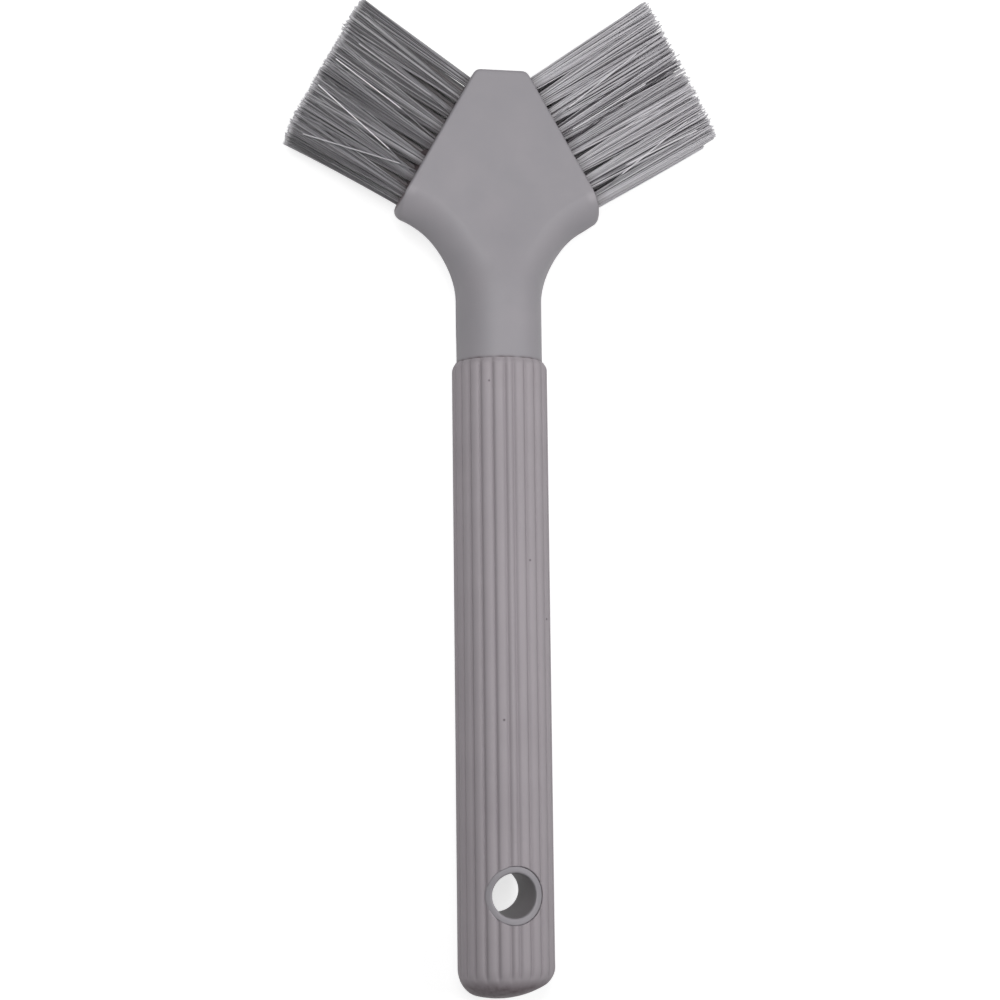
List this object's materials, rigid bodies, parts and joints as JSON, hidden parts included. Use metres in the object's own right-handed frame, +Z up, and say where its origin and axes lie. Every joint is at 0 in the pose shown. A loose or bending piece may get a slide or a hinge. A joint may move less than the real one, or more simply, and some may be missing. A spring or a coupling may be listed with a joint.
{
  "type": "grout brush",
  "caption": "Two-sided grout brush: kite-shaped head with a stiff bristle block on each slanted side, round neck, ribbed soft grip and a hanging eyelet.",
  "frame": {"origin": "middle of the footprint, on the surface that the grip lies on", "axes": "+Y along the handle towards the head, +X across the head to its right side, +Z up out of the front face"},
  "size_m": [0.105, 0.2404, 0.023],
  "materials": {
    "hard_plastic": "moulded polypropylene, fine satin texture",
    "soft_grip": "soft thermoplastic rubber, matt",
    "bristle_nylon": "stiff drawn nylon filament, slight sheen",
    "anchor_wire": "flat drawn wire"
  },
  "bodies": {
    "root": {"anchors_left": "anchor_wire", "anchors_right": "anchor_wire", "grip_sleeve": "soft_grip", "handle_core": "hard_plastic", "tuft_left_back_1": "bristle_nylon", "tuft_left_back_2": "bristle_nylon", "tuft_left_back_3": "bristle_nylon", "tuft_left_back_4": "bristle_nylon", "tuft_left_back_5": "bristle_nylon", "tuft_left_back_6": "bristle_nylon", "tuft_left_back_7": "bristle_nylon", "tuft_left_back_8": "bristle_nylon", "tuft_left_front_1": "bristle_nylon", "tuft_left_front_2": "bristle_nylon", "tuft_left_front_3": "bristle_nylon", "tuft_left_front_4": "bristle_nylon", "tuft_left_front_5": "bristle_nylon", "tuft_left_front_6": "bristle_nylon", "tuft_left_front_7": "bristle_nylon", "tuft_left_front_8": "bristle_nylon", "tuft_left_middle_1": "bristle_nylon", "tuft_left_middle_2": "bristle_nylon", "tuft_left_middle_3": "bristle_nylon", "tuft_left_middle_4": "bristle_nylon", "tuft_left_middle_5": "bristle_nylon", "tuft_left_middle_6": "bristle_nylon", "tuft_left_middle_7": "bristle_nylon", "tuft_right_back_1": "bristle_nylon", "tuft_right_back_2": "bristle_nylon", "tuft_right_back_3": "bristle_nylon", "tuft_right_back_4": "bristle_nylon", "tuft_right_back_5": "bristle_nylon", "tuft_right_back_6": "bristle_nylon", "tuft_right_back_7": "bristle_nylon", "tuft_right_back_8": "bristle_nylon", "tuft_right_front_1": "bristle_nylon", "tuft_right_front_2": "bristle_nylon", "tuft_right_front_3": "bristle_nylon", "tuft_right_front_4": "bristle_nylon", "tuft_right_front_5": "bristle_nylon", "tuft_right_front_6": "bristle_nylon", "tuft_right_front_7": "bristle_nylon", "tuft_right_front_8": "bristle_nylon", "tuft_right_middle_1": "bristle_nylon", "tuft_right_middle_2": "bristle_nylon", "tuft_right_middle_3": "bristle_nylon", "tuft_right_middle_4": "bristle_nylon", "tuft_right_middle_5": "bristle_nylon", "tuft_right_middle_6": "bristle_nylon", "tuft_right_middle_7": "bristle_nylon"}
  },
  "joints": []
}
